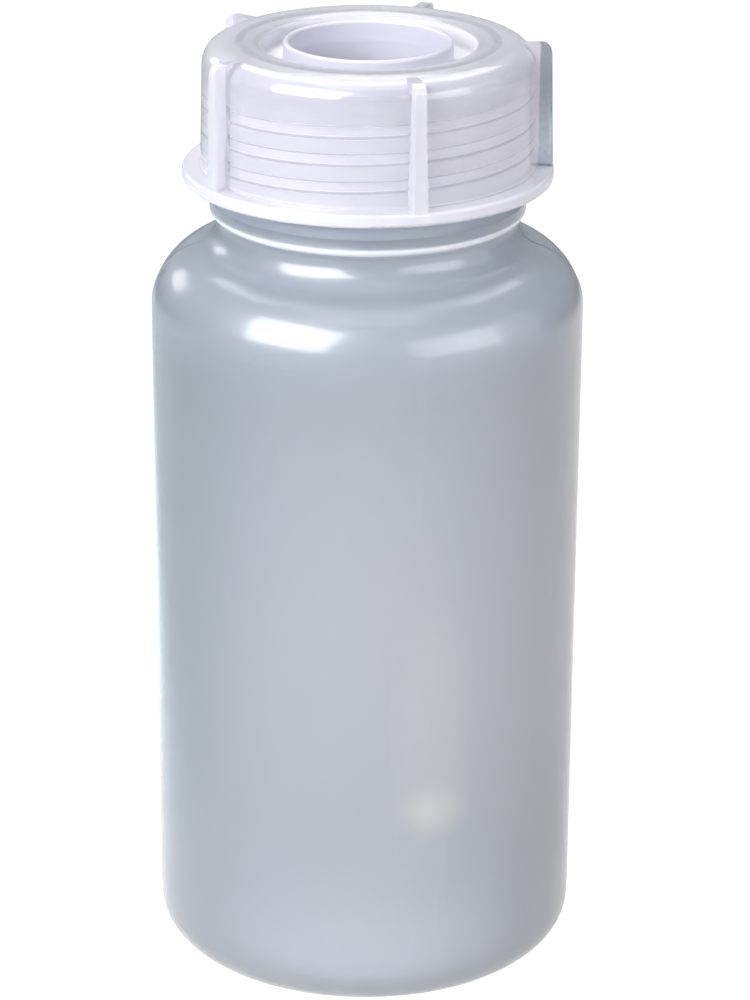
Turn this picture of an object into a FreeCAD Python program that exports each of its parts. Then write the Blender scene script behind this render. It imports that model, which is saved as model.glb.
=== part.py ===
import FreeCAD, Part
import math
import os
import Sketcher
from FreeCAD import Placement, Rotation, Vector

# A wide-neck laboratory bottle with a screw cap, closed. It stands on its base,
# with the origin at the middle of the base and +Z up. All sizes are millimetres.
# The bottle is one blown piece and the cap is one moulded piece.

SIZES = {
    # Body of the bottle
    "body_radius": 37.75,
    "body_wall": 1.2,
    "heel_radius": 6.1,
    "standing_width": 2.2,
    "push_up": 2.8,
    "shoulder_top": 131.45,
    "shoulder_radius": 11.6,
    # Neck and collar, below the cap
    "neck_radius": 25.9,
    "neck_fillet": 5.0,
    "neck_straight": 0.75,
    "collar_width": 1.6,
    "collar_band": 1.75,
    "collar_slope": 1.75,
    # Neck finish, inside the cap
    "finish_radius": 24.9,
    "finish_wall": 1.9,
    "finish_height": 24.1,
    "lip_round": 0.5,
    # Thread, the same on both pieces
    "thread_pitch": 4.7,
    "neck_thread_turns": 3.37,
    "neck_thread_angle": 262.0,
    "cap_thread_turns": 3.1,
    "thread_top_gap": 3.4,
    "thread_height": 1.1,
    "thread_root_width": 2.8,
    "thread_crest_width": 1.3,
    "thread_gap": 0.1,
    "thread_bite": 0.3,
    # Marks that the blow mould leaves
    "seam_width": 0.5,
    "seam_rise": 0.1,
    "pinch_length": 34.0,
    "pinch_width": 1.2,
    "pinch_rise": 0.7,
    # Skirt and flange of the cap
    "foot_gap": 1.6,
    "skirt_wall": 1.35,
    "skirt_draft": 0.45,
    "flange_width": 3.1,
    "flange_thickness": 2.3,
    "flange_round": 0.6,
    # Top of the cap
    "seat_gap": 0.2,
    "top_wall": 1.55,
    "crown_width": 1.95,
    "crown_radius": 10.0,
    "corner_radius": 4.0,
    "rim_width": 4.2,
    "dish_depth": 4.05,
    "dish_round": 0.8,
    "dish_wall": 1.6,
    "ring_radius": 14.6,
    "ring_wall": 1.0,
    "ring_drop": 0.35,
    "well_depth": 8.85,
    "well_wall": 1.4,
    # Sealing lip that enters the mouth
    "seal_clearance": 0.2,
    "seal_wall": 1.3,
    "seal_depth": 5.2,
    # Grip ribs on the skirt
    "rib_count": 5,
    "rib_angle": 70.0,
    "rib_width": 3.1,
    "rib_draft": 0.6,
    "rib_drop": 0.45,
    "rib_inset": 0.15,
    "rib_round": 1.8,
    "rib_edge_round": 0.5,
}


class Size:
    """A length, known as a number and as the text that binds it to the sheet."""

    def __init__(self, value, text):
        self.value = value
        self.text = text

    def __add__(self, other):
        other = as_size(other)
        return Size(self.value + other.value, f"({self.text} + {other.text})")

    def __sub__(self, other):
        other = as_size(other)
        return Size(self.value - other.value, f"({self.text} - {other.text})")

    def __mul__(self, other):
        other = as_size(other)
        return Size(self.value * other.value, f"({self.text} * {other.text})")

    def __truediv__(self, other):
        other = as_size(other)
        return Size(self.value / other.value, f"({self.text} / {other.text})")


def as_size(number):
    """Turn a plain number into a Size, and leave a Size as it is."""
    if isinstance(number, Size):
        return number
    return Size(float(number), repr(float(number)))


def root(size):
    """Square root of a Size."""
    return Size(math.sqrt(size.value), f"sqrt({size.text})")


ZERO = as_size(0)


def make_sheet(doc):
    """Write every driving dimension into a spreadsheet and return it."""
    sheet = doc.addObject("Spreadsheet::Sheet", "Sizes")
    for row, (name, value) in enumerate(SIZES.items(), start=1):
        sheet.set(f"A{row}", name)
        sheet.set(f"B{row}", str(value))
        sheet.setAlias(f"B{row}", name)
    doc.recompute()
    return sheet


doc = FreeCAD.newDocument("SampleBottle")
sheet = make_sheet(doc)
size = {name: Size(float(sheet.get(name)), f"Sizes.{name}") for name in SIZES}


class Outline:
    """A closed outline of lines and arcs in a half plane: x is radius, y is height."""

    def __init__(self, x, y):
        self.corners = [(as_size(x), as_size(y))]
        self.edges = []

    def line(self, x, y):
        """Draw a straight edge to a corner."""
        self.corners.append((as_size(x), as_size(y)))
        self.edges.append(None)
        return self

    def arc(self, centre_x, centre_y, x, y, turn):
        """Draw an arc to a corner. A turn of 1 is counter-clockwise, -1 is clockwise."""
        self.corners.append((as_size(x), as_size(y)))
        self.edges.append((as_size(centre_x), as_size(centre_y), turn))
        return self

    def close(self):
        """End the outline with a straight edge back to its first corner."""
        self.edges.append(None)
        return self


def origin_feature(body, role):
    """Find a plane or an axis of the body's own origin."""
    return next(item for item in body.Origin.OriginFeatures if item.Role == role)


def pin(sketch, geometry, point, corner):
    """Hold one end of an edge at its corner, measured from the sketch's origin."""
    for along, across, coordinate in (("X", -2, corner[0]), ("Y", -1, corner[1])):
        if coordinate.value == 0:
            sketch.addConstraint(Sketcher.Constraint("PointOnObject", geometry, point, across))
            continue
        span = (-1, 1, geometry, point)
        if coordinate.value < 0:
            span = (geometry, point, -1, 1)
            coordinate = ZERO - coordinate
        rule = Sketcher.Constraint(f"Distance{along}", *span, coordinate.value)
        index = sketch.addConstraint(rule)
        sketch.setExpression(f"Constraints[{index}]", coordinate.text)


def edge_geometry(begin, end, bend):
    """Make a line or an arc, and say which of its points is its beginning."""
    first = Vector(begin[0].value, begin[1].value, 0)
    last = Vector(end[0].value, end[1].value, 0)
    if bend is None:
        return Part.LineSegment(first, last), 1, None
    centre = Vector(bend[0].value, bend[1].value, 0)
    circle = Part.Circle(centre, Vector(0, 0, 1), first.distanceToPoint(centre))
    angles = [math.atan2(spot.y - centre.y, spot.x - centre.x) for spot in (first, last)]
    across = begin[0] - bend[0]
    along = begin[1] - bend[1]
    radius = root(across * across + along * along)
    if bend[2] > 0:
        return Part.ArcOfCircle(circle, angles[0], angles[1]), 1, radius
    return Part.ArcOfCircle(circle, angles[1], angles[0]), 2, radius


def place_flat(sketch, height, angle):
    """Lift a flat sketch to a height and turn it about the upright axis."""
    turned = Rotation(Vector(0, 0, 1), angle.value)
    sketch.AttachmentOffset = Placement(Vector(0, 0, height.value), turned)
    sketch.setExpression("AttachmentOffset.Base.z", height.text)
    sketch.setExpression("AttachmentOffset.Rotation.Angle", angle.text)


def place_turned(sketch, angle):
    """Turn an upright sketch about the upright axis."""
    sketch.AttachmentOffset = Placement(Vector(0, 0, 0), Rotation(Vector(0, 1, 0), angle.value))
    sketch.setExpression("AttachmentOffset.Rotation.Angle", angle.text)


def draw(body, name, outline, role="XZ_Plane"):
    """Draw an outline in one of the body's own planes."""
    sketch = body.newObject("Sketcher::SketchObject", name)
    sketch.AttachmentSupport = (origin_feature(body, role), "")
    sketch.MapMode = "FlatFace"
    count = len(outline.edges)
    ends = []
    for number, bend in enumerate(outline.edges):
        begin = outline.corners[number]
        end = outline.corners[(number + 1) % len(outline.corners)]
        shape, first_point, radius = edge_geometry(begin, end, bend)
        index = sketch.addGeometry(shape, False)
        ends.append((index, first_point, 3 - first_point))
        if radius is not None:
            rule = Sketcher.Constraint("Radius", index, radius.value)
            position = sketch.addConstraint(rule)
            sketch.setExpression(f"Constraints[{position}]", radius.text)
    for number in range(count):
        index, first_point, last_point = ends[number]
        next_index, next_point, _ = ends[(number + 1) % count]
        joint = Sketcher.Constraint("Coincident", index, last_point, next_index, next_point)
        sketch.addConstraint(joint)
        pin(sketch, index, first_point, outline.corners[number])
    return sketch


def turn_solid(body, kind, name, sketch):
    """Revolve a sketch about the upright axis, to add or to cut."""
    feature = body.newObject(f"PartDesign::{kind}", name)
    feature.Profile = sketch
    feature.ReferenceAxis = (sketch, ["V_Axis"])
    feature.Angle = 360
    return feature


def pad_both_ways(body, name, sketch, width):
    """Thicken a sketch to both sides of its plane."""
    feature = body.newObject("PartDesign::Pad", name)
    feature.Profile = sketch
    feature.SideType = "Symmetric"
    feature.setExpression("Length", width.text)
    return feature


def repeat_round(body, name, feature, count_text):
    """Repeat a feature evenly round the upright axis."""
    pattern = body.newObject("PartDesign::PolarPattern", name)
    pattern.Originals = [feature]
    pattern.Axis = (origin_feature(body, "Z_Axis"), [""])
    pattern.Angle = 360
    pattern.setExpression("Occurrences", count_text)
    body.Tip = pattern
    return pattern


def wind_thread(body, name, wall, crest, bite, start, turns, angle):
    """Wind a ridge of trapezoid section up the wall, from its start height and angle."""
    half_root = size["thread_root_width"] / 2
    half_crest = size["thread_crest_width"] / 2
    outline = Outline(wall - bite, start - half_root)
    outline.line(crest, start - half_crest)
    outline.line(crest, start + half_crest)
    outline.line(wall - bite, start + half_root)
    outline.close()
    sketch = draw(body, f"{name}Section", outline)
    place_turned(sketch, angle)
    helix = body.newObject("PartDesign::AdditiveHelix", name)
    helix.Profile = sketch
    helix.ReferenceAxis = (sketch, ["V_Axis"])
    helix.Mode = "pitch-turns-angle"
    helix.setExpression("Pitch", size["thread_pitch"].text)
    helix.setExpression("Turns", turns.text)
    helix.LeftHanded = False
    return helix


# Heights and radii that follow from the driving dimensions
standing_radius = size["body_radius"] - size["heel_radius"]
dome_rim = standing_radius - size["standing_width"]
dome_radius = (dome_rim * dome_rim + size["push_up"] * size["push_up"]) / (size["push_up"] * 2)
shoulder_x = size["body_radius"] - size["shoulder_radius"]
shoulder_y = size["shoulder_top"] - size["shoulder_radius"]
fillet_x = size["neck_radius"] + size["neck_fillet"]
centre_gap = size["shoulder_radius"] + size["neck_fillet"]
fillet_run = fillet_x - shoulder_x
fillet_y = shoulder_y + root(centre_gap * centre_gap - fillet_run * fillet_run)
collar_bottom = fillet_y + size["neck_straight"]
collar_radius = size["neck_radius"] + size["collar_width"]
collar_top = collar_bottom + size["collar_width"] + size["collar_band"]
finish_bottom = collar_top + size["collar_slope"]
mouth = finish_bottom + size["finish_height"]
bore_radius = size["finish_radius"] - size["finish_wall"]
male_crest = size["finish_radius"] + size["thread_height"]
female_crest = male_crest + size["thread_gap"]
skirt_bore = female_crest + size["thread_height"]
male_rise = size["thread_pitch"] * size["neck_thread_turns"]
male_start = mouth - size["thread_top_gap"] - male_rise
male_lead = size["thread_pitch"] * (as_size(1) - size["neck_thread_angle"] / 360)
female_start = male_start + male_lead - size["thread_pitch"] / 2


def follow_side(outline, grow):
    """Follow the bottle's side up, from the heel to the neck, moved out by grow."""
    heel = size["heel_radius"]
    heel_arc = heel + grow
    outline.arc(standing_radius, heel, standing_radius + heel_arc, heel, 1)
    outline.line(size["body_radius"] + grow, shoulder_y)
    share = (size["shoulder_radius"] + grow) / centre_gap
    meet_x = shoulder_x + fillet_run * share
    meet_y = shoulder_y + (fillet_y - shoulder_y) * share
    outline.arc(shoulder_x, shoulder_y, meet_x, meet_y, 1)
    outline.arc(fillet_x, fillet_y, size["neck_radius"] + grow, fillet_y, -1)
    return outline


def bottle_outside():
    """Half section of the bottle as if it were full."""
    lip = size["lip_round"]
    finish = size["finish_radius"]
    outline = Outline(ZERO, size["push_up"])
    outline.arc(ZERO, size["push_up"] - dome_radius, dome_rim, ZERO, -1)
    outline.line(standing_radius, ZERO)
    follow_side(outline, ZERO)
    outline.line(size["neck_radius"], collar_bottom)
    outline.arc(
        size["neck_radius"], collar_bottom + size["collar_width"],
        collar_radius, collar_bottom + size["collar_width"], 1,
    )
    outline.line(collar_radius, collar_top)
    outline.line(finish, finish_bottom)
    outline.line(finish, mouth - lip)
    outline.arc(finish - lip, mouth - lip, finish - lip, mouth, 1)
    outline.line(ZERO, mouth)
    return outline.close()


def bottle_cavity():
    """Half section of the space inside, which follows the outside at the wall's distance."""
    wall = size["body_wall"]
    lip = size["lip_round"]
    inner_dome = dome_radius + wall
    floor_rim = root(dome_rim * dome_rim + wall * size["push_up"] * 2)
    outline = Outline(ZERO, size["push_up"] + wall)
    outline.arc(ZERO, size["push_up"] + wall - inner_dome, floor_rim, wall, -1)
    outline.line(standing_radius, wall)
    follow_side(outline, ZERO - wall)
    outline.line(size["neck_radius"] - wall, collar_bottom)
    outline.line(bore_radius, finish_bottom)
    outline.line(bore_radius, mouth - lip)
    outline.arc(bore_radius + lip, mouth - lip, bore_radius + lip, mouth, -1)
    outline.line(ZERO, mouth)
    return outline.close()


def seam_section():
    """Half section of the thin ridge where the two halves of the mould met."""
    rise = size["seam_rise"]
    depth = ZERO - size["body_wall"] / 2
    heel = size["heel_radius"]
    outline = Outline(size["body_radius"] + rise, heel)
    outline.line(size["body_radius"] + rise, shoulder_y)
    for grow, turn in ((rise, 1), (depth, -1)):
        share = (size["shoulder_radius"] + grow) / centre_gap
        meet_x = shoulder_x + fillet_run * share
        meet_y = shoulder_y + (fillet_y - shoulder_y) * share
        if turn > 0:
            outline.arc(shoulder_x, shoulder_y, meet_x, meet_y, turn)
            outline.arc(fillet_x, fillet_y, size["neck_radius"] + grow, fillet_y, -turn)
        else:
            outline.line(size["neck_radius"] + grow, fillet_y)
            outline.arc(fillet_x, fillet_y, meet_x, meet_y, -turn)
            outline.arc(shoulder_x, shoulder_y, size["body_radius"] + grow, shoulder_y, turn)
    outline.line(size["body_radius"] + depth, heel)
    return outline.close()


def pinch_section():
    """Half section of the weld ridge under the base, which follows the push-up."""
    half = size["pinch_length"] / 2
    centre = size["push_up"] - dome_radius
    low = dome_radius - size["pinch_rise"]
    high = dome_radius + size["body_wall"] / 2
    low_end = centre + root(low * low - half * half)
    high_end = centre + root(high * high - half * half)
    outline = Outline(ZERO, centre + low)
    outline.arc(ZERO, centre, half, low_end, -1)
    outline.line(half, high_end)
    outline.arc(ZERO, centre, ZERO, centre + high, 1)
    return outline.close()


def make_bottle():
    """Blown bottle: full turned form, hollowed, then its thread and its mould marks."""
    body = doc.addObject("PartDesign::Body", "Bottle")
    body.Label = "bottle"
    turn_solid(body, "Revolution", "FullForm", draw(body, "FullFormSection", bottle_outside()))
    turn_solid(body, "Groove", "Hollow", draw(body, "HollowSection", bottle_cavity()))
    wind_thread(
        body, "NeckThread", size["finish_radius"], male_crest, size["thread_bite"],
        male_start, size["neck_thread_turns"], size["neck_thread_angle"],
    )
    seam = pad_both_ways(body, "Seam", draw(body, "SeamSection", seam_section()),
                         size["seam_width"])
    repeat_round(body, "SeamPair", seam, "2")
    pinch = pad_both_ways(body, "Pinch", draw(body, "PinchSection", pinch_section()),
                          size["pinch_width"])
    repeat_round(body, "PinchPair", pinch, "2")
    return body


# Heights and radii of the cap, which seats on the mouth and ends above the collar
underside = mouth + size["seat_gap"]
cap_top = underside + size["top_wall"]
cap_foot = finish_bottom + size["foot_gap"]
flange_top = cap_foot + size["flange_thickness"]
skirt_top_radius = skirt_bore + size["skirt_wall"]
skirt_foot_radius = skirt_top_radius + size["skirt_draft"]
flange_radius = skirt_foot_radius + size["flange_width"]
crown_y = cap_top - size["crown_radius"]
corner_x = skirt_top_radius - size["corner_radius"]
crown_x = corner_x - size["crown_width"]
crown_gap = size["crown_radius"] - size["corner_radius"]
corner_y = crown_y + root(crown_gap * crown_gap - size["crown_width"] * size["crown_width"])
dish_radius = crown_x - size["rim_width"]
rim_gap = size["crown_radius"] - size["dish_round"]
rim_run = size["rim_width"] - size["dish_round"]
rim_y = crown_y + root(rim_gap * rim_gap - rim_run * rim_run)
dish_floor = cap_top - size["dish_depth"]
ring_top = cap_top - size["ring_drop"]
well_radius = size["ring_radius"] - size["ring_wall"]
well_floor = cap_top - size["well_depth"]
rib_top = cap_top - size["rib_drop"]
rib_foot = cap_foot + size["flange_thickness"] / 2
rib_foot_radius = flange_radius - size["rib_inset"]


def cap_outside():
    """Half section of the cap as if it were full."""
    edge = size["flange_round"]
    bend = size["dish_round"]
    ring = size["ring_radius"]
    half_ring = size["ring_wall"] / 2
    corner_share = size["crown_radius"] / crown_gap
    rim_share = size["crown_radius"] / rim_gap
    outline = Outline(ZERO, cap_foot)
    outline.line(flange_radius - edge, cap_foot)
    outline.arc(flange_radius - edge, cap_foot + edge, flange_radius, cap_foot + edge, 1)
    outline.line(flange_radius, flange_top - edge)
    outline.arc(flange_radius - edge, flange_top - edge, flange_radius - edge, flange_top, 1)
    outline.line(skirt_foot_radius, flange_top)
    outline.line(skirt_top_radius, corner_y)
    outline.arc(
        corner_x, corner_y,
        crown_x + size["crown_width"] * corner_share,
        crown_y + (corner_y - crown_y) * corner_share, 1,
    )
    outline.arc(
        crown_x, crown_y,
        crown_x - rim_run * rim_share, crown_y + (rim_y - crown_y) * rim_share, 1,
    )
    outline.arc(dish_radius + bend, rim_y, dish_radius, rim_y, 1)
    outline.line(dish_radius, dish_floor + bend)
    outline.arc(
        dish_radius - bend, dish_floor + bend, dish_radius - bend, dish_floor, -1,
    )
    outline.line(ring, dish_floor)
    outline.line(ring, ring_top - half_ring)
    outline.arc(ring - half_ring, ring_top - half_ring, ring - half_ring, ring_top, 1)
    outline.arc(ring - half_ring, ring_top - half_ring, well_radius, ring_top - half_ring, 1)
    outline.line(well_radius, well_floor + bend)
    outline.arc(well_radius - bend, well_floor + bend, well_radius - bend, well_floor, -1)
    outline.line(ZERO, well_floor)
    return outline.close()


def cap_cavity():
    """Half section of the space inside the cap, with the sealing lip left standing."""
    corner = size["corner_radius"] - size["skirt_wall"]
    lip_outer = bore_radius - size["seal_clearance"]
    lip_inner = lip_outer - size["seal_wall"]
    lip_tip = underside - size["seal_depth"]
    lip_round = size["seal_wall"] / 2
    dish_outer = dish_radius + size["dish_wall"]
    dish_under = dish_floor - size["dish_wall"]
    well_outer = well_radius + size["well_wall"]
    well_under = well_floor - size["well_wall"]
    outline = Outline(ZERO, cap_foot)
    outline.line(skirt_bore, cap_foot)
    outline.line(skirt_bore, underside - corner)
    outline.arc(skirt_bore - corner, underside - corner, skirt_bore - corner, underside, 1)
    outline.line(lip_outer, underside)
    outline.line(lip_outer, lip_tip + lip_round)
    outline.arc(lip_outer - lip_round, lip_tip + lip_round, lip_outer - lip_round, lip_tip, -1)
    outline.line(lip_inner, lip_tip)
    outline.line(lip_inner, underside)
    outline.line(dish_outer, underside)
    outline.line(dish_outer, dish_under)
    outline.line(well_outer, dish_under)
    outline.line(well_outer, well_under)
    outline.line(ZERO, well_under)
    return outline.close()


def rib_plan():
    """Plan of one grip rib at its foot, with its two outer edges rounded."""
    half = size["rib_width"] / 2
    edge = size["rib_edge_round"]
    inner = corner_x
    outer = rib_foot_radius
    outline = Outline(inner, ZERO - half)
    outline.line(outer - edge, ZERO - half)
    outline.arc(outer - edge, edge - half, outer, edge - half, 1)
    outline.line(outer, half - edge)
    outline.arc(outer - edge, half - edge, outer - edge, half, 1)
    outline.line(inner, half)
    return outline.close()


def rib_corner():
    """Half section of what is cut off the ribs to round their upper outer corners."""
    bend = size["rib_round"]
    tip = rib_foot_radius - size["rib_draft"]
    outline = Outline(tip - bend, rib_top)
    outline.arc(tip - bend, rib_top - bend, tip, rib_top - bend, -1)
    outline.line(tip + bend, rib_top - bend)
    outline.line(tip + bend, rib_top + bend)
    outline.line(tip - bend, rib_top + bend)
    return outline.close()


def make_cap():
    """Moulded cap: full turned form, ribs, then hollowed inside and threaded."""
    body = doc.addObject("PartDesign::Body", "ScrewCap")
    body.Label = "screw_cap"
    turn_solid(body, "Revolution", "CapForm", draw(body, "CapFormSection", cap_outside()))
    plan = draw(body, "RibPlan", rib_plan(), "XY_Plane")
    place_flat(plan, rib_foot, size["rib_angle"])
    rib = body.newObject("PartDesign::Pad", "Rib")
    rib.Profile = plan
    rib.setExpression("Length", (rib_top - rib_foot).text)
    rib.setExpression("TaperAngle", f"-atan({(size['rib_draft'] / (rib_top - rib_foot)).text})")
    repeat_round(body, "Ribs", rib, size["rib_count"].text)
    turn_solid(body, "Groove", "RibCorners", draw(body, "RibCornerSection", rib_corner()))
    turn_solid(body, "Groove", "Inside", draw(body, "InsideSection", cap_cavity()))
    wind_thread(
        body, "CapThread", skirt_bore, female_crest, ZERO - size["thread_bite"],
        female_start, size["cap_thread_turns"], ZERO,
    )
    return body


def check_document():
    """Stop when any object failed or any sub-part is not one valid solid."""
    for item in doc.Objects:
        failed = [state for state in item.State if state in ("Invalid", "Error")]
        if failed:
            raise RuntimeError(f"{item.Name} did not build: {item.State}")
    for body in doc.findObjects("PartDesign::Body"):
        shape = body.Shape
        if shape.isNull() or not shape.isValid() or len(shape.Solids) != 1:
            raise RuntimeError(f"{body.Label} is not one valid solid")


def main():
    parts = [make_bottle(), make_cap()]
    doc.recompute()
    check_document()
    os.makedirs("parts", exist_ok=True)
    for part in parts:
        part.Shape.exportStep(f"parts/{part.Label}.step")
        box = part.Shape.BoundBox
        print(f"{part.Label}: {part.Shape.Volume / 1000:.2f} cm3, z {box.ZMin:.2f} to {box.ZMax:.2f}")


main()
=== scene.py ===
# %% [markdown]
# # A wide-neck sample bottle in milky plastic
# The real object is two pieces of polyethylene: a blown bottle and a moulded screw cap.
# Both shapes come ready from the CAD model, so this lesson is about their looks.
# A shape that is already right is best kept as it is. What Blender adds here is the
# plastic, the light that falls through it, and a camera that sees it as the photograph did.

# %% Load the frame
import math

import bpy
from mathutils import Matrix, Vector

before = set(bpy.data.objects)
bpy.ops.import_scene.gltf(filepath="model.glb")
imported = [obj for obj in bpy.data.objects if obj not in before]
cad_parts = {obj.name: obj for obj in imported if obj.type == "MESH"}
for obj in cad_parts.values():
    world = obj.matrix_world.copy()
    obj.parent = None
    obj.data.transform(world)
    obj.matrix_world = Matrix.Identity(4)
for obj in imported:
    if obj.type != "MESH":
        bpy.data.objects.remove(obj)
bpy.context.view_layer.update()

bpy.ops.object.select_all(action="DESELECT")
print("nodes:", sorted(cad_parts))

# %% [markdown]
# ## The camera
# A bottle is drawn mostly by its outline, so the camera is set before any material.
# A long lens about 0.6 metres away, looking down by about 21 degrees, makes the base
# narrower than the shoulder, and opens the top of the cap into an ellipse.
# The direction is built from three angles, because a matrix made of its own axes leaves no
# doubt about the order in which they turn.

# %% Set up the camera
# Places are in metres, angles in degrees, and the lens and its sensor in millimetres.
CAMERA_PLACE = Vector((0.0, -0.58678, 0.31421))
CAMERA_DOWN = math.radians(21.532)
CAMERA_ASIDE = math.radians(0.151)
CAMERA_TILT = math.radians(0.331)
CAMERA_LENS = 126.57
SENSOR_WIDTH = 36.0
NEAREST_SEEN = 0.01


def camera_matrix(place, down, aside, tilt):
    """Turn three angles into the camera's place and directions."""
    ahead = Vector((
        math.sin(aside) * math.cos(down),
        math.cos(aside) * math.cos(down),
        -math.sin(down),
    ))
    level = Vector((math.cos(aside), -math.sin(aside), 0.0))
    upright = level.cross(ahead)
    right = level * math.cos(tilt) + upright * math.sin(tilt)
    above = upright * math.cos(tilt) - level * math.sin(tilt)
    turned = Matrix((right, above, -ahead)).transposed().to_4x4()
    return Matrix.Translation(place) @ turned


bpy.ops.object.camera_add()
camera = bpy.context.object
camera.name = "camera"
camera.matrix_world = camera_matrix(CAMERA_PLACE, CAMERA_DOWN, CAMERA_ASIDE, CAMERA_TILT)
camera.data.sensor_width = SENSOR_WIDTH
camera.data.lens = CAMERA_LENS
camera.data.clip_start = NEAREST_SEEN
bpy.context.scene.camera = camera
print("camera lens:", camera.data.lens, "mm")

# %% [markdown]
# ## Shader maths as plain expressions
# A material is a graph of nodes, and a graph is hard to read as code. A small class wraps
# one output socket, and gives it the signs for plus, minus and times. An expression such as
# `1 - mask` then adds the Math node by itself.

# %% A class for shader values
class Value:
    """One output socket of a node, which can be used in sums."""

    def __init__(self, tree, socket):
        self.tree = tree
        self.socket = socket

    def math(self, operation, *others):
        """Add a Math node on this value and the others."""
        node = self.tree.nodes.new("ShaderNodeMath")
        node.operation = operation
        for index, item in enumerate((self, *others)):
            if isinstance(item, Value):
                self.tree.links.new(item.socket, node.inputs[index])
            else:
                node.inputs[index].default_value = item
        return Value(self.tree, node.outputs[0])

    def constant(self, number):
        """Make a Value of a plain number, for a difference that starts with one."""
        node = self.tree.nodes.new("ShaderNodeValue")
        node.outputs[0].default_value = number
        return Value(self.tree, node.outputs[0])

    def __add__(self, other):
        return self.math("ADD", other)

    def __sub__(self, other):
        return self.math("SUBTRACT", other)

    def __rsub__(self, other):
        return self.constant(other).math("SUBTRACT", self)

    def __mul__(self, other):
        return self.math("MULTIPLY", other)

    __radd__ = __add__
    __rmul__ = __mul__

    def between(self, low, high):
        """Fade smoothly from 0 at low to 1 at high."""
        node = self.tree.nodes.new("ShaderNodeMapRange")
        node.interpolation_type = "SMOOTHSTEP"
        self.tree.links.new(self.socket, node.inputs["Value"])
        node.inputs["From Min"].default_value = low
        node.inputs["From Max"].default_value = high
        return Value(self.tree, node.outputs["Result"])


def colour(red, green, blue):
    """A colour as the sockets take it, with full opacity."""
    return (red, green, blue, 1.0)


print("made the class", Value.__name__)

# %% [markdown]
# ## One kind of plastic for both pieces
# Polyethylene is neither clear nor white. Light that enters it is scattered a little, so
# what lies close behind the wall shows softly and what lies far behind is lost. A rough
# glass does the same: light passes through the shader's transmission, and its roughness
# blurs it. A second, solid shader stands for the light that the plastic throws back. A Mix
# Shader joins the two, and its factor says how milky the plastic is at each point.
# The masks read Object coordinates, in metres, so they stay on the piece when it moves.
# One method makes any node that the sums don't: its settings first, then its sockets.

# %% A class for the two-part plastic
# The inputs of a Mix Shader node, and the colour sockets of a Mix node.
SHADER_FACTOR, SHADER_FIRST, SHADER_SECOND = 0, 1, 2
COLOUR_FACTOR, COLOUR_FIRST, COLOUR_SECOND, COLOUR_RESULT = 0, 6, 7, 2
PLASTIC_IOR = 1.5


class Plastic:
    """A material that blends a clear, rough glass with a milky, solid plastic."""

    def __init__(self, name):
        self.material = bpy.data.materials.new(name)
        self.material.use_nodes = True
        self.tree = self.material.node_tree
        self.clear = self.tree.nodes["Principled BSDF"]
        self.milky = self.tree.nodes.new("ShaderNodeBsdfPrincipled")
        self.mix = self.tree.nodes.new("ShaderNodeMixShader")
        self.tree.links.new(self.clear.outputs[0], self.mix.inputs[SHADER_FIRST])
        self.tree.links.new(self.milky.outputs[0], self.mix.inputs[SHADER_SECOND])
        output = self.tree.nodes["Material Output"]
        self.tree.links.new(self.mix.outputs[0], output.inputs["Surface"])
        self.place = self.node("ShaderNodeTexCoord", {}, {}, "Object")
        self.side, self.depth, self.height = [
            self.node("ShaderNodeSeparateXYZ", {}, {0: self.place}, axis) for axis in "XYZ"
        ]
        self.radius = (self.side * self.side + self.depth * self.depth).math("SQRT")

    def node(self, kind, settings, inputs, output=0):
        """Add a node: its settings first, then the values or links of its sockets."""
        node = self.tree.nodes.new(kind)
        for name, value in settings.items():
            setattr(node, name, value)
        for name, value in inputs.items():
            self.plug(node.inputs[name], value)
        return Value(self.tree, node.outputs[output])

    def plug(self, socket, value):
        """Link a shader value to a socket, or set a plain one on it."""
        if isinstance(value, Value):
            self.tree.links.new(value.socket, socket)
        else:
            socket.default_value = value

    def noise(self, scale, detail, stretch=(1.0, 1.0, 1.0)):
        """A soft random pattern, which can be stretched along an axis."""
        place = self.node("ShaderNodeMapping", {}, {"Vector": self.place, "Scale": stretch})
        inputs = {"Vector": place, "Scale": scale, "Detail": detail}
        return self.node("ShaderNodeTexNoise", {}, inputs, "Fac")

    def distance(self, centre, stretch):
        """Measure how far a point lies from a centre, with each axis stretched."""
        value = self.place
        for operation, vector in (("SUBTRACT", centre), ("MULTIPLY", stretch)):
            settings = {"operation": operation}
            value = self.node("ShaderNodeVectorMath", settings, {0: value, 1: vector})
        return self.node("ShaderNodeVectorMath", {"operation": "LENGTH"}, {0: value}, "Value")

    def blend(self, factor, first, second):
        """Mix two colours."""
        inputs = {COLOUR_FACTOR: factor, COLOUR_FIRST: first, COLOUR_SECOND: second}
        return self.node("ShaderNodeMix", {"data_type": "RGBA"}, inputs, COLOUR_RESULT)

    def layers(self, tint, *zones):
        """Lay the colours of zones over a first one, each as far as its mask says."""
        for mask, paint in zones:
            tint = self.blend(mask, tint, paint)
        return tint

    def relief(self, bumps, strength, depth):
        """Make the small unevenness of the surface."""
        inputs = {"Height": bumps, "Strength": strength, "Distance": depth}
        return self.node("ShaderNodeBump", {}, inputs)

    def feed(self, shader, **inputs):
        """Set or link sockets of a shader, named with underscores for spaces."""
        for name, value in inputs.items():
            self.plug(shader.inputs[name.replace("_", " ")], value)

    def shine(self, relief, weight, roughness):
        """Give both shaders the same surface: its relief and a thin clear coat."""
        for shader in (self.clear, self.milky):
            self.feed(
                shader, Normal=relief, IOR=PLASTIC_IOR,
                Coat_Weight=weight, Coat_Roughness=roughness, Coat_IOR=PLASTIC_IOR,
            )

    def milkiness(self, everywhere, *zones):
        """Say how milky the surface is, from 0 to 1, and what each zone adds to that."""
        for mask, amount in zones:
            everywhere = everywhere + mask * amount
        self.plug(self.mix.inputs[SHADER_FACTOR], everywhere)


print("both plastics have a refractive index of", PLASTIC_IOR)

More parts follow.
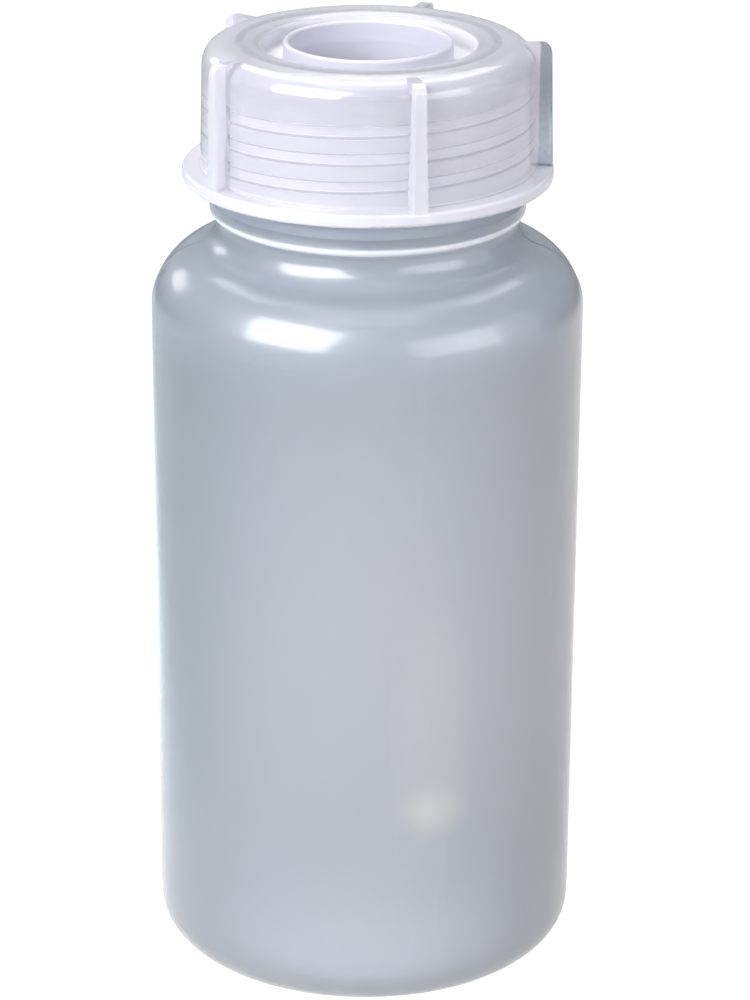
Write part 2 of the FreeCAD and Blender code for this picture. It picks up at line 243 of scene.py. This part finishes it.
# %% [markdown]
# ## The bottle's zones
# The thicker the wall, the milkier it looks, so the looks follow the wall: thin in the
# body, thicker in the shoulder and the neck. The shoulder's blue tint is painted light, the
# cool room light that falls on it from above. The collar's rounded lower edge has a painted
# highlight, milky and white, as if lit from the table below. Low on the right a small spot
# and a strip above it are a painted glow of warm light, and a used bottle has faint
# upright scuffs. Each zone is a mask that fades from 0 to 1 between two numbers.

# %% Mask the bottle's zones
bottle_plastic = Plastic("milky_polyethylene")
cloud = bottle_plastic.noise(scale=22.0, detail=3.0, stretch=(1.0, 1.0, 0.45))
grain = bottle_plastic.noise(scale=900.0, detail=3.0)
ripple = bottle_plastic.noise(scale=60.0, detail=1.0, stretch=(1.0, 1.0, 0.3))
scratches = bottle_plastic.noise(scale=150.0, detail=4.0, stretch=(1.0, 1.0, 0.1))
scuff = scratches.between(low=0.64, high=0.72)

height = bottle_plastic.height
foot = 1 - height.between(low=0.0012, high=0.0042)
shoulder = height.between(low=0.112, high=0.126)
# A band on the collar's lower edge, for its painted highlight.
collar_edge_starts = height.between(low=0.1361, high=0.1368)
collar_edge_ends = height.between(low=0.1377, high=0.1384)
painted_collar_highlight = collar_edge_starts * (1 - collar_edge_ends)
neck_wall = height.between(low=0.1395, high=0.1415)

# The middles of the painted glow, a spot and a strip of light, in metres.
GLOW_SPOT_MIDDLE = (0.0117, -0.0359, 0.0383)
GLOW_STRIP_MIDDLE = (0.0117, -0.0359, 0.053)
from_spot = bottle_plastic.distance(GLOW_SPOT_MIDDLE, stretch=(1.0, 1.0, 1.25))
painted_glow_spot = 1 - from_spot.between(low=0.0005, high=0.0085)
from_strip = bottle_plastic.distance(GLOW_STRIP_MIDDLE, stretch=(1.0, 1.0, 0.28))
painted_glow_strip = 1 - from_strip.between(low=0.003, high=0.009)
print("the masks take", len(bottle_plastic.tree.nodes), "nodes")

# %% [markdown]
# ## The bottle's plastic
# The colour starts as a faint cloud of two greys, and each zone lays its own tint over it.
# The relief is very slight: slow ripples from blowing, and a fine grain. Both shaders get
# it, so that the shine doesn't break where the plastic turns milky.

# %% Mix the bottle's plastic
BODY_COOL = colour(0.665, 0.688, 0.722)
BODY_WARM = colour(0.69, 0.705, 0.73)
# The shoulder's blue is painted light, from the cool room above.
SHOULDER_PAINTED_BLUE = colour(0.635, 0.685, 0.755)
FOOT_BLUE = colour(0.59, 0.66, 0.72)
# A painted glow of warm light for the spot and the strip.
PAINTED_GLOW_YELLOW = colour(0.97, 0.98, 0.90)
SCUFF_WHITE = colour(0.84, 0.86, 0.90)
THICK_BLUE = colour(0.70, 0.765, 0.85)
# A painted highlight for the collar's lower edge.
PAINTED_HIGHLIGHT_WHITE = colour(0.92, 0.92, 0.96)

body_colour = bottle_plastic.layers(
    bottle_plastic.blend(cloud.between(low=0.3, high=0.7), BODY_COOL, BODY_WARM),
    (shoulder, SHOULDER_PAINTED_BLUE),
    (foot, FOOT_BLUE),
    (painted_glow_strip * 0.2 + painted_glow_spot * 0.75, PAINTED_GLOW_YELLOW),
    (scuff * 0.2, SCUFF_WHITE),
)
bottle_relief = bottle_plastic.relief(
    ripple * 0.7 + grain * 0.3, strength=0.12, depth=0.0006,
)
bottle_plastic.shine(bottle_relief, weight=0.9, roughness=0.14)
bottle_plastic.feed(
    bottle_plastic.clear, Base_Color=body_colour, Transmission_Weight=1.0,
    Roughness=0.34 + grain * 0.08 + scuff * 0.1, Specular_IOR_Level=0.3,
)
bottle_plastic.feed(
    bottle_plastic.milky, Roughness=0.45,
    # The collar's painted highlight is white.
    Base_Color=bottle_plastic.blend(painted_collar_highlight, THICK_BLUE, PAINTED_HIGHLIGHT_WHITE),
)
# The collar's painted highlight is also made milky here.
bottle_plastic.milkiness(
    0.07,
    (shoulder, 0.07),
    (painted_collar_highlight, 0.7),
    (neck_wall, 0.5),
)
print("bottle plastic has", len(bottle_plastic.tree.nodes), "nodes")

# %% [markdown]
# ## The cap's zones
# The cap is moulded from a whiter grade. Seen from outside, a clear skin lies over the
# paler inner wall, and the ridges of the thread show through it as soft bands, with a
# darker line of painted shade at each flank. So the skirt's outer surface is mostly clear,
# and its inner wall is milky. The flange and the ribs are thicker and milkier than the skin.
# The raised ring and the well in the cap's middle get a darker tint as painted shade, and
# the moat around the ring is made the milkiest as painted light where the rim shades it.
# The rib that stands out on the right is painted clear and blue, as shade where the left
# lamp doesn't reach it. Distance from the axis tells most of these zones apart.

# %% Mask the cap's zones
cap_plastic = Plastic("pale_cap_plastic")
cap_cloud = cap_plastic.noise(scale=45.0, detail=3.0)
cap_grain = cap_plastic.noise(scale=1100.0, detail=3.0)

height = cap_plastic.height
radius = cap_plastic.radius
flange = 1 - height.between(low=0.1454, high=0.1458)
top = height.between(low=0.1570, high=0.1650)
# The ring and the well get painted shade.
painted_shade_core = 1 - radius.between(low=0.0147, high=0.0150)
# The moat gets painted light, where the rim shades it.
painted_light_moat = top * (1 - painted_shade_core) * (1 - radius.between(low=0.0178, high=0.0190))
skirt = radius.between(low=0.0252, high=0.0256) * (1 - top)
inner_wall = skirt * (1 - radius.between(low=0.02725, high=0.0275))
off_ridge = radius.between(low=0.0262, high=0.0265)
ridge = 1 - off_ridge
# The flanks of the thread get painted shade.
painted_shade_flank = off_ridge * (1 - radius.between(low=0.0269, high=0.0271))
rib = radius.between(low=0.0292, high=0.0295) * (1 - flange)
# The rib on the right gets painted shade, clear and blue.
shaded_right_rib = cap_plastic.side.between(low=0.0275, high=0.0285) * rib
print("the masks take", len(cap_plastic.tree.nodes), "nodes")

# %% [markdown]
# ## The cap's plastic
# The two shaders have their own tints, because one is seen from outside and the other
# through the skin. The inner wall is lilac at the crests of the thread, plain white
# between them and blue at the flanks, which draws the bands; the blue is painted shade.
# What a zone adds to the milkiness can itself be a sum of masks, as for the inner wall
# here, or take some away.

# %% Mix the cap's plastic
CAP_LILAC = colour(0.915, 0.90, 0.965)
CAP_WHITE = colour(0.94, 0.925, 0.98)
# Painted shade on the rib at the right.
RIB_PAINTED_SHADE_BLUE = colour(0.64, 0.70, 0.79)
# Painted shade in the ring and the well, for the skin and for the wall.
CORE_SHADE_SKIN = colour(0.74, 0.73, 0.81)
CORE_SHADE_WALL = colour(0.66, 0.65, 0.74)
WALL_WHITE = colour(0.92, 0.92, 0.97)
# Painted shade at the flanks of the thread.
FLANK_SHADE_BLUE = colour(0.66, 0.70, 0.80)

cap_colour = cap_plastic.blend(cap_cloud.between(low=0.3, high=0.7), CAP_LILAC, CAP_WHITE)
skin_colour = cap_plastic.layers(
    cap_colour,
    (shaded_right_rib, RIB_PAINTED_SHADE_BLUE),
    (painted_shade_core, CORE_SHADE_SKIN),
)
wall_colour = cap_plastic.layers(
    cap_colour,
    (inner_wall * (1 - ridge), WALL_WHITE),
    (inner_wall * painted_shade_flank, FLANK_SHADE_BLUE),
    (painted_shade_core, CORE_SHADE_WALL),
)
cap_relief = cap_plastic.relief(
    cap_cloud * 0.6 + cap_grain * 0.4, strength=0.1, depth=0.0004,
)
cap_plastic.shine(cap_relief, weight=0.4, roughness=0.16)
cap_plastic.feed(
    cap_plastic.clear, Base_Color=skin_colour, Transmission_Weight=1.0,
    Roughness=0.11 + cap_grain * 0.05,
)
cap_plastic.feed(cap_plastic.milky, Base_Color=wall_colour, Roughness=0.4)
# The moat's amount is painted light; the amounts of the ring and well, the flanks and the
# right rib are painted shade.
cap_plastic.milkiness(
    0.18,
    (inner_wall, 0.68 + ridge * 0.14 - painted_shade_flank * 0.25),
    (flange, 0.22),
    (top, 0.07),
    (painted_light_moat, 0.6),
    (painted_shade_core, 0.4),
    (rib, 0.16),
    (shaded_right_rib, -0.34),
)
print("cap plastic has", len(cap_plastic.tree.nodes), "nodes")

# %% [markdown]
# ## Dressing the pieces
# A piece from the CAD model comes with a plain material. Its mesh stays as it is, and only
# the material in its slot changes.

# %% Give each node its plastic
FINISHES = {"bottle": bottle_plastic.material, "screw_cap": cap_plastic.material}
for name, finish in FINISHES.items():
    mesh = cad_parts[name].data
    mesh.materials.clear()
    mesh.materials.append(finish)
    print(name, "has", len(mesh.polygons), "faces")

# %% [markdown]
# ## Floor and backdrop
# The picture was taken on white, with no edge between table and wall. The floor is plain
# white to the camera, and a light table to all other rays: it glows behind and under the
# bottle and again towards the viewer, has a weak ring of shade around the foot, and is
# bluer on the left. Seen through the milky wall, that gives the body its soft gradient,
# its cool left side and the pale ellipse of the base. The same two-part material does it,
# with a Light Path node as its mix.

# %% Lay the floor
FLOOR_WIDTH = 8.0
PLAIN_WHITE = colour(1.0, 1.0, 1.0)
WHITE_STRENGTH = 1.05
TABLE_GREY = colour(0.03, 0.03, 0.03)
NO_COLOUR = colour(0.0, 0.0, 0.0)
TABLE_WARM = colour(1.0, 0.965, 0.975)
TABLE_COOL = colour(0.82, 0.93, 1.02)
GLOW_CENTRE = (-0.03, 0.14, 0.0)
GLOW_STRETCH = (2.6, 1.0, 1.0)
TABLE_STRENGTH = 0.22
GLOW_STRENGTH = 0.8
NEAR_STRENGTH = 0.52
UNDER_STRENGTH = 0.75
SHADE_DEPTH = 0.2

bpy.ops.mesh.primitive_plane_add(size=FLOOR_WIDTH, location=(0.0, 0.0, 0.0))
floor = bpy.context.object
floor.name = "floor"
table = Plastic("light_table")
glow = 1 - table.distance(GLOW_CENTRE, GLOW_STRETCH).between(low=0.04, high=0.33)
under = 1 - table.radius.between(low=0.022, high=0.034)
near = 1 - table.depth.between(low=0.42, high=0.56)
shade = (1 - table.radius.between(low=0.05, high=0.16)) * (1 - under)
cool_side = 1 - table.side.between(low=-0.10, high=-0.01)
open_light = glow * GLOW_STRENGTH + near * NEAR_STRENGTH + TABLE_STRENGTH
table.feed(
    table.clear, Base_Color=TABLE_GREY, Roughness=0.9,
    Emission_Color=table.blend(cool_side, TABLE_WARM, TABLE_COOL),
    Emission_Strength=open_light * (1 - shade * SHADE_DEPTH) + under * UNDER_STRENGTH,
)
table.feed(
    table.milky, Base_Color=NO_COLOUR,
    Emission_Color=PLAIN_WHITE, Emission_Strength=WHITE_STRENGTH,
)
table.milkiness(table.node("ShaderNodeLightPath", {}, {}, "Is Camera Ray"))
floor.data.materials.append(table.material)
print("floor is", floor.dimensions.x, "m wide")

# %% [markdown]
# ## The room
# The room is made as the floor is. The camera sees plain white, and all other rays see a
# dimmer, slightly blue room, which keeps the shaded sides of the bottle cool. The Standard
# view transform shows white as white.

# %% Light the room softly
ROOM_BLUE = colour(0.87, 0.93, 1.0)
ROOM_STRENGTH = 0.44

world = bpy.data.worlds.new("white_room")
bpy.context.scene.world = world
world.use_nodes = True
room_nodes = world.node_tree.nodes
room_links = world.node_tree.links
room_light = room_nodes["Background"]
backdrop = room_nodes.new("ShaderNodeBackground")
for background, tint, strength in (
    (room_light, ROOM_BLUE, ROOM_STRENGTH),
    (backdrop, PLAIN_WHITE, WHITE_STRENGTH),
):
    background.inputs["Color"].default_value = tint
    background.inputs["Strength"].default_value = strength
room_path = room_nodes.new("ShaderNodeLightPath")
room_mix = room_nodes.new("ShaderNodeMixShader")
room_links.new(room_path.outputs["Is Camera Ray"], room_mix.inputs[SHADER_FACTOR])
room_links.new(room_light.outputs[0], room_mix.inputs[SHADER_FIRST])
room_links.new(backdrop.outputs[0], room_mix.inputs[SHADER_SECOND])
room_links.new(room_mix.outputs[0], room_nodes["World Output"].inputs["Surface"])
bpy.context.scene.view_settings.view_transform = "Standard"
print("room strength:", ROOM_STRENGTH)

# %% [markdown]
# ## Soft boxes
# The shoulder shows what lit it: a large bright patch on the left and a dimmer one on the
# right. The neck and the cap's crown repeat them, and a small patch on the far left comes
# from behind. Each patch is the mirror image of one soft box, so its place and width give
# the direction and size of the lamp. A wide, weak lamp lights the right side, one hangs
# high behind the bottle and one above it. Each lamp is set by two angles as seen from the
# bottle, in degrees, then its distance, width and height in metres, and its power in watts.
# A lamp that isn't told its colour is white.

# %% Hang the soft boxes
AIM = Vector((0.0, 0.0, 0.1))
SOFT_BOXES = {
    "left_key": (-45.0, 34.0, 1.1, 0.92, 0.74, 17.5),
    "right_fill": (50.0, 20.0, 1.2, 1.05, 0.6, 5.0),
    "right_wall": (75.0, 8.0, 1.3, 1.4, 1.2, 3.5),
    "high_back": (180.0, 62.0, 1.2, 1.5, 0.8, 9.0),
    "left_back": (-137.0, 17.0, 1.0, 0.28, 0.2, 0.5),
    "ceiling": (0.0, 84.0, 1.3, 1.0, 1.0, 4.0),
}


def soft_box(name, aside, above, distance, width, tall, power):
    """Hang a rectangular lamp at two angles from the bottle, aimed at its middle."""
    turn = math.radians(aside)
    rise = math.radians(above)
    way = Vector((
        math.sin(turn) * math.cos(rise),
        -math.cos(turn) * math.cos(rise),
        math.sin(rise),
    ))
    bpy.ops.object.light_add(type="AREA")
    lamp = bpy.context.object
    lamp.name = name
    lamp.data.shape = "RECTANGLE"
    lamp.data.size = width
    lamp.data.size_y = tall
    lamp.data.energy = power
    lamp.location = AIM + way * distance
    lamp.rotation_euler = way.to_track_quat("Z", "Y").to_euler()
    print(name, "hangs at", [round(value, 2) for value in lamp.location])


for name, setting in SOFT_BOXES.items():
    soft_box(name, *setting)

# %% [markdown]
# ## Finish


print("the scene is set")
